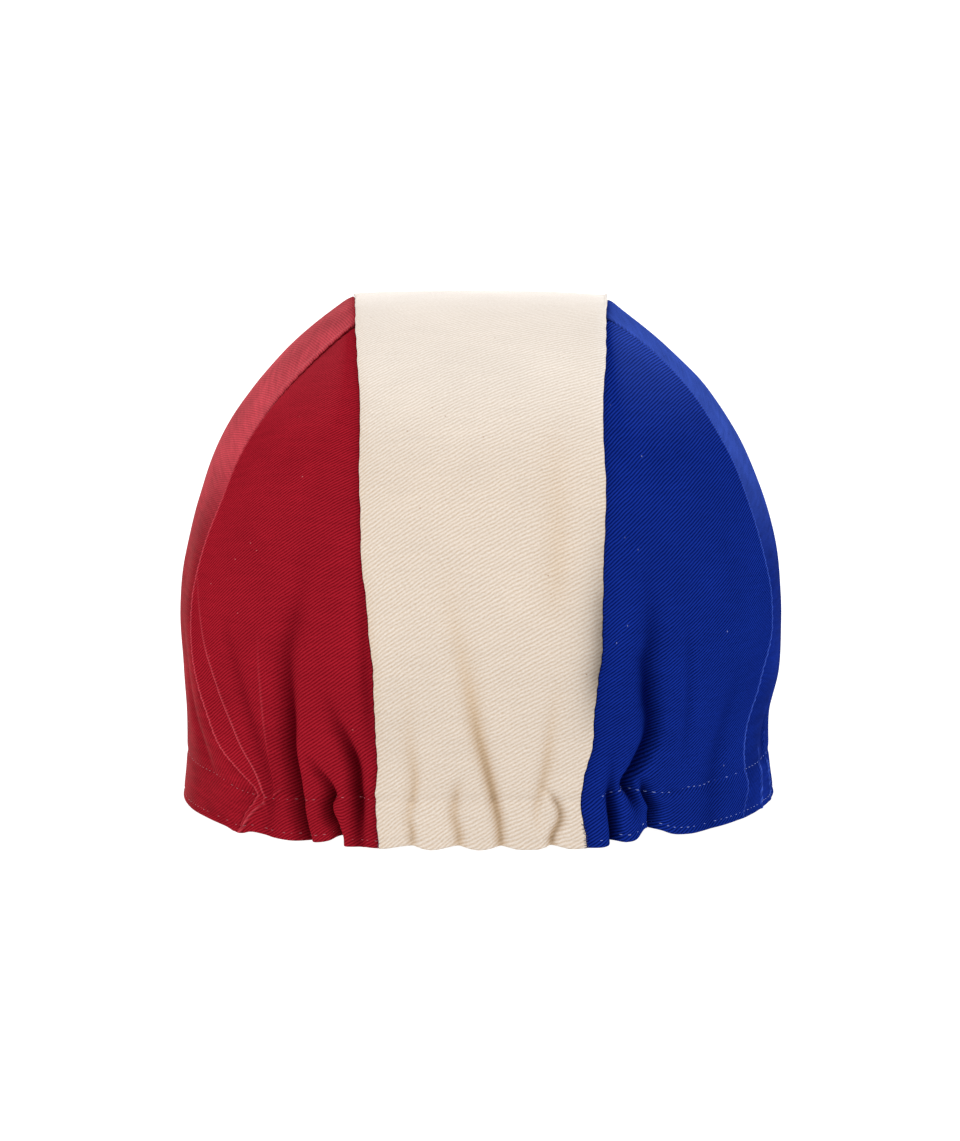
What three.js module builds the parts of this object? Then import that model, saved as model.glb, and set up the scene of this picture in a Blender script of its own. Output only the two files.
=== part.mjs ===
// A cotton cap with a short peak, resting on its rear hem and its peak.
// Millimetres, Z up. The peak points to -Y and the wearer's left is +X.
// A place on the crown is an angle round the head, from 0 at the rear through +90 on the
// left, and a level: 0 at the hem, 1 where the wall turns into the dome, 2 at the top.
import * as THREE from 'three';

// Crown
const wallTop = 56; // height where the upright wall turns into the dome
const domeHeight = 94.5; // rise of the dome above that
const rearRoundness = 2.1; // 2 is an ellipse, more is fuller
const frontRoundness = 2.25;
const sideRoundness = { left: 1.98, right: 1.97 };
const stripBow = 0.017; // how much lower the strip's edges lie than its middle
const cloth = 1.2;
const seamGap = 0.3;
const rearHem = -wallTop; // the strip's stations at its two ends
const frontHem = 180 + wallTop;

// Hem band
const bandHeight = 13.5;
const bandThickness = 1;
const bandGap = 0.5; // between it and the panels, whose gathers its own facets cut across
const bandSetUp = 0.7; // how far its lower edge stays above the hem's

// Peak
const peakHalfAngle = 58; // from the middle of the front to each corner
const peakCornerX = 78;
const peakCornerY = -52;
const peakReach = 104; // from the corners' line forward to the tip
const peakSquareness = 2.2;
const peakThickness = 2.6;
const peakTuck = 3; // how far it reaches in under the front hem
const peakArch = 4; // how high the middle of its front edge stands off the table

// Half sizes of the wall at heights above the hem
const wallRows = [
  { height: 0, left: 87.6, right: 87.1, rear: 90.5, front: 98.5 },
  { height: 15, left: 86.5, right: 86, rear: 90.4, front: 98.3 },
  { height: 27, left: 86.7, right: 84.4, rear: 92.6, front: 99.2 },
  { height: 40, left: 87.3, right: 87.1, rear: 95.2, front: 100.4 },
  { height: 56, left: 88.4, right: 88.6, rear: 97, front: 101 },
];

// Height of the hem above the table
const hemRows = [
  { angle: 0, left: 0, right: 0 },
  { angle: 30, left: 0, right: 0 },
  { angle: 42, left: 0, right: 0.7 },
  { angle: 60, left: 1.1, right: 2.4 },
  { angle: 90, left: 3.4, right: 4 },
  { angle: 122, left: 6.4, right: 6.4 },
  { angle: 150, left: 8.1, right: 8.1 },
  { angle: 180, left: 8.6, right: 8.6 },
];

// Half width of the strip. Stations are heights below the wall's top at the rear,
// degrees over the dome, and 180 plus heights below the wall's top at the front.
const stripRows = [
  { station: rearHem, half: 28.2 },
  { station: -40, half: 28.4 },
  { station: -20, half: 30.2 },
  { station: 0, half: 31.7 },
  { station: 30, half: 33.6 },
  { station: 60, half: 35.4 },
  { station: 90, half: 36.7 },
  { station: 120, half: 36.5 },
  { station: 150, half: 35 },
  { station: 180, half: 34 },
  { station: frontHem, half: 33 },
];

// Angle of each side seam at levels from the hem up, and the strip's station that it ends at
const leftSeam = {
  side: 1,
  end: 69,
  rows: [
    { level: 0, angle: 50 },
    { level: 0.22, angle: 51 },
    { level: 0.4, angle: 58 },
    { level: 0.6, angle: 66 },
    { level: 0.85, angle: 70 },
    { level: 1, angle: 70.5 },
    { level: 1.12, angle: 65 },
    { level: 1.25, angle: 61.8 },
    { level: 1.4, angle: 59.5 },
    { level: 1.57, angle: 51.5 },
  ],
};
const rightSeam = {
  side: -1,
  end: 72,
  rows: [
    { level: 0, angle: 62 },
    { level: 0.22, angle: 60.3 },
    { level: 0.45, angle: 61.8 },
    { level: 0.68, angle: 65.5 },
    { level: 0.88, angle: 71 },
    { level: 1, angle: 71 },
    { level: 1.12, angle: 66 },
    { level: 1.25, angle: 64.3 },
    { level: 1.4, angle: 63 },
    { level: 1.6, angle: 57.5 },
  ],
};

// Gathers where the elastic draws the hem in: the valley's angle at the hem and at its
// upper end, the height where it dies out, its half width in degrees, and its depth
const foldRows = [
  { hem: 41, up: 44, top: 40, half: 2.2, depth: 1.6 },
  { hem: 32.5, up: 35, top: 88, half: 2.8, depth: 3.1 },
  { hem: 26.3, up: 28.5, top: 42, half: 1.8, depth: 2.8 },
  { hem: 21.8, up: 24.5, top: 46, half: 1.7, depth: 2.8 },
  { hem: 13, up: 11.5, top: 52, half: 2.2, depth: 1.9 },
  { hem: 5.4, up: 6, top: 36, half: 1.7, depth: 1.8 },
  { hem: -3.8, up: 5, top: 74, half: 2.4, depth: 3 },
  { hem: -12.6, up: -9.5, top: 56, half: 2, depth: 2.4 },
  { hem: -23, up: -21, top: 48, half: 1.8, depth: 2.6 },
  { hem: -31, up: -28, top: 90, half: 2.5, depth: 3.2 },
  { hem: -39, up: -41, top: 44, half: 2.3, depth: 1.6 },
  { hem: -54, up: -52, top: 56, half: 4, depth: 1.6 },
];

const degrees = Math.PI / 180;

// A smooth curve through a table's rows
function curve(rows, from, to) {
  const x = rows.map((row) => row[from]);
  const y = rows.map((row) => row[to]);
  const last = x.length - 1;
  const rise = (i) => (y[i + 1] - y[i]) / (x[i + 1] - x[i]);
  const slope = x.map((_, i) => {
    if (i === 0 || i === last) return rise(Math.min(i, last - 1));
    const before = x[i] - x[i - 1];
    const after = x[i + 1] - x[i];
    return (rise(i - 1) * after + rise(i) * before) / (before + after);
  });
  return (at) => {
    const found = x.findIndex((value) => value > at);
    const i = found < 0 ? last - 1 : Math.max(found - 1, 0);
    const step = x[i + 1] - x[i];
    const t = THREE.MathUtils.clamp((at - x[i]) / step, 0, 1);
    const ease = t * t * (3 - 2 * t);
    const bend = t * (1 - t) * step * (slope[i] * (1 - t) - slope[i + 1] * t);
    return y[i] * (1 - ease) + y[i + 1] * ease + bend;
  };
}

const wallHalf = {
  left: curve(wallRows, 'height', 'left'),
  right: curve(wallRows, 'height', 'right'),
  rear: curve(wallRows, 'height', 'rear'),
  front: curve(wallRows, 'height', 'front'),
};
const hemHeight = { left: curve(hemRows, 'angle', 'left'), right: curve(hemRows, 'angle', 'right') };
const stripHalf = curve(stripRows, 'station', 'half');

const fadeOut = (t) => {
  const left = THREE.MathUtils.clamp(1 - t, 0, 1);
  return left * left * (3 - 2 * left);
};

// How far the gathers draw the cloth in
function foldDepth(angle, height) {
  return foldRows.reduce((sum, row) => {
    const valley = row.hem + (row.up - row.hem) * Math.min(height / row.top, 1);
    const off = (angle - valley) / row.half;
    return sum + row.depth * Math.exp(-off * off) * fadeOut(height / row.top);
  }, 0);
}

// The lengthwise outline: 1 on the outline, more outside it
function outline(forwardOrBack, up, height) {
  const half = forwardOrBack > 0 ? wallHalf.rear(height) : wallHalf.front(height);
  const round = forwardOrBack > 0 ? rearRoundness : frontRoundness;
  const sum = Math.abs(forwardOrBack / half) ** round + (up / domeHeight) ** round;
  return sum ** (1 / round);
}

// Takes a point of the plain crown in to its place in the cloth: the gathers, the depth
// below the outer face, and the lift of the hem
function settle(point, depth) {
  const axis = new THREE.Vector3(0, 0, Math.min(point.z, wallTop));
  const outward = point.clone().sub(axis).normalize();
  const angle = Math.atan2(point.x, point.y) / degrees;
  const inwards = foldDepth(angle, point.z) + depth;
  const hem = hemHeight[point.x > 0 ? 'left' : 'right'](Math.abs(angle));
  const lift = Math.max(hem, 0) * (1 - Math.min(point.z / wallTop, 1)) ** 2;
  return point.clone().addScaledVector(outward, -inwards).add(new THREE.Vector3(0, 0, lift));
}

// A point of the lengthwise outline at a station of the strip
function spine(station) {
  if (station <= 0) return { y: wallHalf.rear(wallTop + station), z: wallTop + station };
  if (station >= 180) return { y: -wallHalf.front(frontHem - station), z: frontHem - station };
  const up = Math.sin(station * degrees) * domeHeight;
  const half = station < 90 ? wallHalf.rear(wallTop) : wallHalf.front(wallTop);
  const away = Math.cos(station * degrees) * half;
  const scale = 1 / outline(away, up, wallTop);
  return { y: away * scale, z: wallTop + up * scale };
}

function stripPlain(across, station, inset = 0) {
  const { y, z } = spine(station);
  const lower = 1 - stripBow * across * across;
  const x = across * (stripHalf(station) - inset);
  return new THREE.Vector3(x, y * lower, z > wallTop ? wallTop + (z - wallTop) * lower : z);
}

// The side panels' surface, which meets the strip at its edges
function sidePlain(angle, level) {
  const height = Math.min(level, 1) * wallTop;
  const rise = Math.max(level - 1, 0) * 90 * degrees;
  const out = Math.cos(rise) * Math.sin(angle * degrees);
  const back = Math.cos(rise) * Math.cos(angle * degrees);
  const up = Math.sin(rise);
  const side = out > 0 ? 'left' : 'right';
  const half = wallHalf[side](height);
  const round = sideRoundness[side];
  const lengthwise = outline(back, up, height);
  const station = up > 0
    ? Math.atan2(up / domeHeight, back / wallHalf[back > 0 ? 'rear' : 'front'](wallTop)) / degrees
    : back > 0 ? height - wallTop : frontHem - height;
  const share = (1 - (stripHalf(station) / half) ** round) ** (1 / round);
  const meets = (1 - stripBow) / share;
  const sum = Math.abs(out / half) ** round + (lengthwise / meets) ** round;
  const radius = sum ** (-1 / round);
  return new THREE.Vector3(out, back, up).multiplyScalar(radius).setZ(height + up * radius);
}

// A closed body from an outer and an inner sheet of points; place(i, j, inner) gives each
function shell(name, material, columns, rows, place, wraps = false) {
  const across = wraps ? columns : columns + 1;
  const count = across * (rows + 1);
  const points = [];
  for (const inner of [false, true]) {
    for (let j = 0; j <= rows; j += 1) {
      for (let i = 0; i < across; i += 1) {
        points.push(place(i / columns, j / rows, inner));
      }
    }
  }
  const at = (i, j) => j * across + (i % across);
  const faces = [];
  const quad = (a, b, c, d) => faces.push(a, b, c, a, c, d);
  for (let j = 0; j < rows; j += 1) {
    for (let i = 0; i < columns; i += 1) {
      quad(at(i, j), at(i, j + 1), at(i + 1, j + 1), at(i + 1, j));
      quad(count + at(i, j), count + at(i + 1, j), count + at(i + 1, j + 1), count + at(i, j + 1));
    }
  }
  const rim = (a, b) => quad(a, b, count + b, count + a);
  for (let i = 0; i < columns; i += 1) {
    rim(at(i, 0), at(i + 1, 0));
    rim(at(i + 1, rows), at(i, rows));
  }
  for (let j = 0; j < rows && !wraps; j += 1) {
    rim(at(0, j + 1), at(0, j));
    rim(at(columns, j), at(columns, j + 1));
  }
  const volume = faces.reduce((sum, _, k) => {
    if (k % 3) return sum;
    const [a, b, c] = [points[faces[k]], points[faces[k + 1]], points[faces[k + 2]]];
    return sum + a.dot(b.clone().cross(c));
  }, 0);
  if (volume < 0) faces.reverse();
  const geometry = new THREE.BufferGeometry();
  const numbers = points.flatMap((p) => p.toArray());
  geometry.setAttribute('position', new THREE.Float32BufferAttribute(numbers, 3));
  geometry.setIndex(faces);
  geometry.computeVertexNormals();
  const mesh = new THREE.Mesh(geometry, material);
  mesh.name = name;
  return mesh;
}

// For even steps along a line: turns a share of its length into the line's own parameter
function evenly(line) {
  const steps = 240;
  const points = Array.from({ length: steps + 1 }, (_, i) => line(i / steps));
  const lengths = [0];
  points.slice(1).forEach((p, i) => lengths.push(lengths[i] + p.distanceTo(points[i])));
  return (share) => {
    const goal = share * lengths[steps];
    const i = Math.min(lengths.findIndex((length) => length >= goal - 1e-9), steps);
    if (i <= 0) return 0;
    return (i - 1 + (goal - lengths[i - 1]) / (lengths[i] - lengths[i - 1])) / steps;
  };
}

function material(name, colour, roughness) {
  return new THREE.MeshStandardMaterial({ name, color: colour, roughness, metalness: 0 });
}

const creamTwill = material('cream_twill', 0xe5d5c2, 0.9);
const redTwill = material('red_twill', 0x991c27, 0.88);
const blueTwill = material('blue_twill', 0x0c267e, 0.88);
const bandCloth = material('band_cloth', 0xe2d6c6, 0.92);

const group = new THREE.Group();

const stripStation = (t) => rearHem + (frontHem - rearHem) * t;
const stripShare = evenly((t) => stripPlain(0, stripStation(t)));
group.add(shell('centre_strip', creamTwill, 20, 40, (i, j, inner) => {
  const plain = stripPlain(2 * i - 1, stripStation(stripShare(j)), seamGap / 2);
  return settle(plain, inner ? cloth : 0);
}));

// Where the strip's edge is, as an angle and a level
function stripEdge(side, station) {
  const p = stripPlain(side, station, -seamGap / 2);
  const flat = Math.hypot(p.x, p.y);
  const level = p.z > wallTop ? 1 + Math.atan2(p.z - wallTop, flat) / (90 * degrees) : p.z / wallTop;
  return { angle: Math.abs(Math.atan2(p.x, p.y)) / degrees, level };
}

// A side panel between the strip's edge, from its hem to the end of the seam, and the seam
function sidePanel(name, cloths, seam, hemStation, columns, rows) {
  const front = hemStation > 0;
  const tip = stripEdge(seam.side, seam.end);
  const seamAngle = curve([...seam.rows, tip], 'level', 'angle');
  const stop = 1.3; // the two lines end this far short of where they would meet
  const edgeStation = (t) => hemStation + (seam.end - hemStation + (front ? 0 : -stop)) * t;
  const seamLevel = (t) => (tip.level - stop / 100) * t;
  const on = (place) => sidePlain(seam.side * place.angle, place.level);
  const edge = (t) => stripEdge(seam.side, edgeStation(t));
  const line = (t) => ({ angle: seamAngle(seamLevel(t)), level: seamLevel(t) });
  const edgeShare = evenly((t) => on(edge(t)));
  const lineShare = evenly((t) => on(line(t)));
  return shell(name, cloths, columns, rows, (i, j, inner) => {
    const a = edge(edgeShare(j));
    const b = line(lineShare(j));
    const reach = Math.hypot(on(b).x, on(b).y) * degrees;
    b.angle += ((front ? 1 : -1) * seamGap) / 2 / reach;
    const angle = a.angle + (b.angle - a.angle) * i;
    const level = a.level + (b.level - a.level) * i;
    return settle(sidePlain(seam.side * angle, level), inner ? cloth : 0);
  });
}

group.add(sidePanel('left_rear_panel', redTwill, leftSeam, rearHem, 18, 16));
group.add(sidePanel('left_front_panel', redTwill, leftSeam, frontHem, 15, 16));
group.add(sidePanel('right_rear_panel', blueTwill, rightSeam, rearHem, 18, 16));
group.add(sidePanel('right_front_panel', blueTwill, rightSeam, frontHem, 15, 16));

// The wall anywhere round the head, strip or side
function wallPlain(angle, height) {
  const side = sidePlain(angle, height / wallTop);
  const station = Math.abs(angle) < 90 ? height - wallTop : frontHem - height;
  const half = stripHalf(station);
  if (Math.abs(side.x) > half) return side;
  const { y } = spine(station);
  const slant = Math.tan(angle * degrees);
  let x = THREE.MathUtils.clamp(y * slant, -half, half);
  for (let pass = 0; pass < 3; pass += 1) x = y * (1 - stripBow * (x / half) ** 2) * slant;
  return stripPlain(x / half, station);
}

// The hem band's columns stand in line with the panels', so that the two stay clear
function steps(from, to, count) {
  return Array.from({ length: count }, (_, i) => from + ((to - from) * i) / count);
}
const rearEdge = stripEdge(1, rearHem).angle;
const frontEdge = stripEdge(1, frontHem).angle;
const leftHemSeam = curve(leftSeam.rows, 'level', 'angle');
const rightHemSeam = curve(rightSeam.rows, 'level', 'angle');
const bandAngles = (level) => [
  ...steps(-180, -frontEdge, 4),
  ...steps(-frontEdge, -rightHemSeam(level), 15),
  ...steps(-rightHemSeam(level), -rearEdge, 18),
  ...steps(-rearEdge, rearEdge, 20),
  ...steps(rearEdge, leftHemSeam(level), 18),
  ...steps(leftHemSeam(level), frontEdge, 15),
  ...steps(frontEdge, 180, 4),
];
const bandColumns = bandAngles(0).length;
group.add(shell('hem_band', bandCloth, bandColumns, 2, (i, j, inner) => {
  const height = bandSetUp + (bandHeight - bandSetUp) * j;
  const angle = bandAngles(height / wallTop)[Math.round(i * bandColumns)];
  return settle(wallPlain(angle, height), cloth + bandGap + (inner ? bandThickness : 0));
}, true));

// The peak: a board from under the front hem out to its rounded edge
function peakPoint(across, out, under) {
  const angle = 180 - across * peakHalfAngle;
  const turned = angle > 180 ? angle - 360 : angle;
  const hem = settle(wallPlain(turned, 0), 0);
  const inner = new THREE.Vector3(hem.x, hem.y, 0);
  inner.setLength(inner.length() - peakTuck);
  const swing = across * 90 * degrees;
  const power = 2 / peakSquareness;
  const edge = new THREE.Vector3(
    Math.sign(across) * peakCornerX * Math.abs(Math.sin(swing)) ** power,
    peakCornerY - peakReach * Math.abs(Math.cos(swing)) ** power,
    0,
  );
  const middle = fadeOut((across / 0.65) ** 2);
  const top = THREE.MathUtils.lerp(hem.z - seamGap, peakArch * middle + peakThickness, out);
  const p = inner.lerp(edge, out);
  return p.setZ(under ? top - peakThickness : top);
}

group.add(shell('peak', creamTwill, 24, 5, (i, j, under) => peakPoint(2 * i - 1, j, under)));

// Stands the cap on z = 0 with the middle of its box on the origin
const box = new THREE.Box3().setFromObject(group);
const middle = box.getCenter(new THREE.Vector3());
group.children.forEach((mesh) => mesh.geometry.translate(-middle.x, -middle.y, -box.min.z));

export default group;
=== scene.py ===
import bpy
import numpy as np
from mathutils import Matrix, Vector


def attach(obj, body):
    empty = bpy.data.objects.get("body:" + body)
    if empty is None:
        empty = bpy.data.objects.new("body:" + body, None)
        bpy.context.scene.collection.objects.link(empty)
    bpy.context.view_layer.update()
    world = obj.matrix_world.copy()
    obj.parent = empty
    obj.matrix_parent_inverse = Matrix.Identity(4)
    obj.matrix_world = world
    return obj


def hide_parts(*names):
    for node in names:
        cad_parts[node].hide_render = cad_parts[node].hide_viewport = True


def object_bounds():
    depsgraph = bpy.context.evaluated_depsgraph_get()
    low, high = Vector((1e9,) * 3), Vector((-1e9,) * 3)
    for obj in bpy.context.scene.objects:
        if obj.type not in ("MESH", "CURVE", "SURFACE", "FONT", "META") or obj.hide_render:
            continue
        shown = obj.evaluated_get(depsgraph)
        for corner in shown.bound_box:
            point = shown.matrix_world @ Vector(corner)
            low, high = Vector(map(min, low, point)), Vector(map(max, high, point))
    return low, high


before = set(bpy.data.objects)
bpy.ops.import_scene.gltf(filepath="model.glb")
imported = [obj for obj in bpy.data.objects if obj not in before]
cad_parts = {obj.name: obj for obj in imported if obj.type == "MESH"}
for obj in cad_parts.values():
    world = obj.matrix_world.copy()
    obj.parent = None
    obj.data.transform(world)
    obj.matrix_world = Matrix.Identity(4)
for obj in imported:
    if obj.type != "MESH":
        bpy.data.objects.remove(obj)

cadBox = [list(corner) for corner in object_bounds()]
print("frame loaded, box", cadBox)

# Shapes are worked out in millimetres round the head: x to the wearer's left, y to the rear, z up
# from the table. An angle goes from 0 at the rear to 180 at the front, plus on the left.
# A level is 0 at the hem, 1 where the wall turns into the dome, 2 at the top.

crown = {
    "wallTop": 56.0,
    "domeHeight": 94.5,
    "domeWay": 150.0,  # over the cloth from the wall's top to the crown's
    "rearRoundness": 2.1,
    "frontRoundness": 2.25,
    "leftRoundness": 1.98,
    "rightRoundness": 1.97,
    "stripBow": 0.017,  # how much lower the strip's edges lie than its middle
    "cloth": 1.2,
    "roll": 0.6,  # radius that each cut edge turns in with
    "wallHeights": [0, 15, 27, 40, 56, 72],  # the last place mirrors one, so the wall ends upright
    "left": [87.6, 86.5, 86.7, 87.4, 88.0, 87.4],
    "right": [86.4, 84.9, 84.9, 87.8, 88.5, 87.8],
    "rear": [90.5, 90.4, 92.6, 95.2, 97.0, 95.2],
    "front": [98.5, 98.3, 99.2, 100.4, 101.0, 100.4],
    "hemAngles": [0, 30, 42, 60, 90, 122, 150, 180],
    "hemLeft": [0, 0, 0, 1.1, 3.4, 6.4, 8.1, 8.6],
    "hemRight": [0, 0, 0.7, 1.9, 3.8, 6.4, 8.1, 8.6],
    "stations": [-56, -40, -20, 0, 30, 60, 90, 120, 150, 180, 236],
    "stripHalf": [28.2, 28.4, 30.2, 31.7, 33.6, 35.4, 36.7, 36.5, 35, 34, 33],
}
capShift = cadBox[0][1] * 1000 + 156  # from the head's middle to the frame's origin
frontHem = 180 + crown["wallTop"]

# The side seams: the strip's station where each ends, its angle at each level, and how far the
# front and the rear panel's edges stand out
seams = {
    "left": {
        "side": 1, "end": 69,
        "levels": [0, 0.1, 0.17, 0.24, 0.3, 0.4, 0.6, 0.8, 0.92, 1, 1.06, 1.13, 1.25, 1.4, 1.57],
        "angles": [51, 48.8, 46.6, 46.6, 50.5, 57.2, 63.5, 68.3, 69.8, 70.1, 69.2, 66.6, 62.2, 59.5, 51.5],
        "proudLevels": [0, 0.2, 0.45, 0.9, 1.02, 1.2, 1.35, 1.45, 1.52, 1.6, 1.7],
        "front": [0.2, 0, -0.4, -0.4, -0.3, -0.2, 0, 0.4, 0.8, 1.0, 1.0],
        "rear": [0.2, 0.3, 0.6, 0.6, 0.6, 0.5, 0.4, 0.1, -0.1, -0.2, -0.2],
    },
    "right": {
        "side": -1, "end": 72,
        "levels": [0, 0.07, 0.17, 0.25, 0.34, 0.45, 0.56, 0.68, 0.8, 0.9, 1, 1.06, 1.13, 1.25, 1.4, 1.6],
        "angles": [58.8, 60, 62.3, 61.2, 59.8, 59.8, 60.6, 62, 63.8, 66.2, 68.4, 68.3, 66.8, 64.8, 63, 57.5],
        "proudLevels": [0, 0.2, 0.45, 0.8, 1.0, 1.2, 1.5, 1.62, 1.7],
        "front": [0.2, -0.2, -0.4, -0.4, -0.3, -0.2, -0.1, 0.4, 0.7],
        "rear": [0.2, 0.4, 0.6, 0.6, 0.6, 0.5, 0.4, 0.1, 0],
    },
}

# Folds, valleys plus and ridges minus. The rows give: height, the line's angle there, its depth,
# and its half width towards the wearer's left and right
folds = {
    "redMain": [
        (-2, 32.6, 6.6, 3.8, 1.5), (10.5, 35.6, 6.4, 4.2, 2.4), (17.6, 36.5, 5.8, 4.6, 3.2),
        (26, 37, 4.9, 5, 3.6), (34.5, 36.2, 4, 5.4, 4), (44, 35.8, 3, 5.6, 4.4), (54, 35.2, 2, 5.8, 5),
        (66, 33, 1.2, 6, 5.6), (90, 31, 0, 6, 6)],
    "redSecond": [
        (-2, 26.2, 5.6, 2.6, 1.2), (3, 26.6, 5.8, 2.8, 1.3), (7.6, 28.4, 5.6, 3, 1.6),
        (11.5, 28.9, 5, 3, 1.9), (14.5, 28.2, 4, 3, 2.2), (17.5, 28.8, 2.8, 3, 2.4),
        (21, 30.6, 1.6, 3, 2.6), (26, 32.6, 0, 3, 3)],
    "redThird": [
        (-2, 22.4, 1.4, 2.8, 2.6), (6, 22.6, 3, 3, 2.6), (11, 22.6, 3.8, 3, 2.6), (16, 22.9, 4.4, 3, 2.8),
        (24, 23.1, 4.2, 3.2, 3), (31, 24.4, 2.6, 3.6, 3.2), (38, 26, 1.1, 3.8, 3.4), (48, 28, 0, 4, 3.6)],
    "creamMain": [
        (-2, -3, 2.7, 1.9, 2), (8.4, -2.5, 2.9, 2.2, 2), (15.2, -1.6, 3.2, 2.4, 2.2),
        (24.3, -0.2, 3, 2.8, 2.5), (33.9, 1.3, 2.6, 3.2, 3), (42.9, 2.3, 2, 3.4, 3.8),
        (54.5, 3.8, 1.2, 3.4, 4.8), (68, 5.5, 0.5, 3.8, 5), (84, 6.8, 0, 4, 5)],
    "creamLeft": [
        (-2, 12.6, 1.7, 2, 1.6), (4.7, 12.8, 1.9, 2, 1.7), (9, 13.2, 1.4, 2.2, 1.8),
        (13.4, 12.8, 1.7, 2.3, 2), (19.9, 12.2, 1.7, 2.6, 2.2), (26, 12.4, 1.3, 3, 2.4),
        (33.2, 12.6, 0.7, 3.2, 2.6), (50, 12, 0, 3.2, 2.6)],
    "creamSmall": [
        (-2, 4.6, 2.2, 2, 2.2), (3.7, 4.6, 2.2, 2, 2.2), (9.4, 5.4, 1.9, 2.2, 2.2),
        (15.8, 5, 1.5, 2.3, 1.9), (21, 4.4, 0, 2.4, 2)],
    "creamArch": [
        (4, -9.6, 0, 1.8, 1.8), (11, -9.2, 0.9, 1.8, 1.8), (17, -10, 1.5, 2.2, 2.2),
        (22, -10.6, 1.7, 2.4, 2.4), (32, -11, 1.1, 2.6, 2.6), (50, -12, 0, 2.8, 2.8)],
    "creamArchEnd": [
        (-2, -12, 2.6, 1.9, 1.4), (3, -12.2, 2.9, 1.9, 1.4), (8, -13.6, 2.6, 2, 1.3),
        (12.5, -13.2, 2.2, 1.8, 1.2), (16.5, -11.4, 0.9, 2, 1.4), (19, -9.5, 0, 2, 1.5)],
    "blueMain": [
        (5, -28, 0, 1.8, 2.2), (10, -28, 1.6, 1.9, 2.2), (13.5, -27.4, 3.8, 2.2, 2.4),
        (17.5, -26.1, 5.6, 2.6, 2.6), (23, -28.4, 5.8, 3.6, 3), (30.2, -30.5, 5.2, 4.6, 3.4),
        (35.7, -30.2, 4.5, 4.8, 3.8), (41.3, -29.1, 4, 5, 4.4), (47.2, -28.5, 3.5, 5, 4.6),
        (52.5, -27.9, 2.9, 5, 4.6), (58, -28.6, 2.2, 4.8, 4.8), (66, -28.5, 1.2, 4.8, 5.2),
        (82, -28, 0, 5, 5.2)],
    "blueFirst": [
        (-2, -23.6, 5.4, 1.6, 1.9), (1.5, -23.6, 5.8, 1.6, 1.9), (8.6, -23.3, 5.6, 1.8, 1.9),
        (14, -22.8, 3.8, 2, 2), (18, -22.6, 2, 2.2, 2.2), (30, -22, 0, 2.4, 2.6)],
    "blueNotch": [
        (-2, -31.6, 5.8, 1.6, 2.6), (5.7, -31.6, 5.8, 1.6, 2.8), (8.5, -31.8, 5.4, 1.6, 2.8),
        (12.5, -30.9, 4.4, 1.7, 2.6), (16.5, -29.6, 2.4, 1.8, 2.6), (19.5, -28.6, 0, 2, 2.8)],
    "blueHook": [
        (13, -28.9, 0, 2, 3), (17, -30, -0.8, 2, 3), (20, -32.4, -0.8, 2.2, 3.4),
        (27, -35.2, -0.6, 2.4, 3.8), (38.5, -35.6, -0.4, 2.8, 4), (50, -34.4, -0.2, 3, 4),
        (64, -33, 0, 3.2, 4)],
    "blueTop": [
        (116, -94, 0, 20, 20), (127, -96, 0.4, 20, 20), (137, -100, 1.7, 18, 18), (144, -102, 1.3, 16, 16),
        (149, -104, -0.5, 14, 14), (154, -104, -1, 14, 14)],
    "redTop": [
        (118, 94, 0, 20, 20), (134, 97, -0.3, 20, 20), (144, 100, -0.6, 18, 18), (153, 103, -1.8, 16, 16)],
}
evenFolds = {  # the half widths first, then the rows without them
    "redMainCrest": ((1.6, 1.4), [
        (4, 40.4, 0), (12, 41, -0.6), (20, 41.6, -0.8), (32, 42, -0.7), (46, 42, -0.4), (60, 42, 0)]),
    "redByStrip": ((2.6, 2.6), [(25, 19.4, 0), (42, 19.6, 1.2), (62, 19.9, 1), (84, 20.6, 0)]),
    "redOuter": ((4, 5), [(-2, 43.5, 0.9), (14, 42.5, 1.3), (30, 46, 1.4), (48, 50, 1), (66, 54, 0)]),
    "redRidge": ((1, 1.5), [
        (4, 43.2, 0), (12.7, 44.2, -0.6), (19.5, 46.4, -0.8), (24.4, 49.2, -0.8), (33.9, 53.4, -0.8),
        (43.8, 57.6, -0.7), (53.6, 61.5, -0.5), (64, 65, -0.25), (80, 68, 0)]),
    "redHemCrease": ((3, 0.8), [
        (-1, 50.8, -1), (0.3, 50, -1.2), (3.1, 48.2, -1.3), (8, 45, -1.2), (13.3, 40.4, -0.7),
        (16, 38.5, 0)]),
    "creamUpper": ((6, 5), [(62, -11, 0), (76, -12, 0.9), (96, -13, 0.8), (120, -14.5, 0)]),
    "blueOuter": ((2.8, 3), [(20, -39, 0), (34, -38.4, 0.8), (50, -37.2, 0.7), (66, -36, 0)]),
    "blueWide": ((7, 6), [(-2, -47, 0.7), (14, -48, 1.2), (30, -50, 1), (52, -52, 0)]),
    "blueHemSecond": ((1, 1.3), [
        (-1, -69, -0.5), (4.9, -69.2, -0.8), (10.1, -70.4, -0.8), (14.1, -70, -0.6), (22, -68.5, 0)]),
    "blueHemThird": ((1.2, 1.5), [
        (-1, -77.5, -0.4), (8.1, -77.6, -0.7), (15, -76.8, -0.8), (20.3, -78, -0.7), (28, -80, 0)]),
    "blueSideDip": ((6, 9), [(12, -74, 0), (21, -76, 1.3), (32, -78, 0)]),
    "redShoulder": ((20, 20), [(94, 84, 0), (112, 84, -1), (130, 82, 0)]),
    "redSideDip": ((6, 4), [(12, 61, 0), (20, 66, 0.8), (32, 73, 1), (46, 77, 0.6), (60, 79, 0)]),
}
folds |= {name: [row + widths for row in rows] for name, (widths, rows) in evenFolds.items()}
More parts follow.
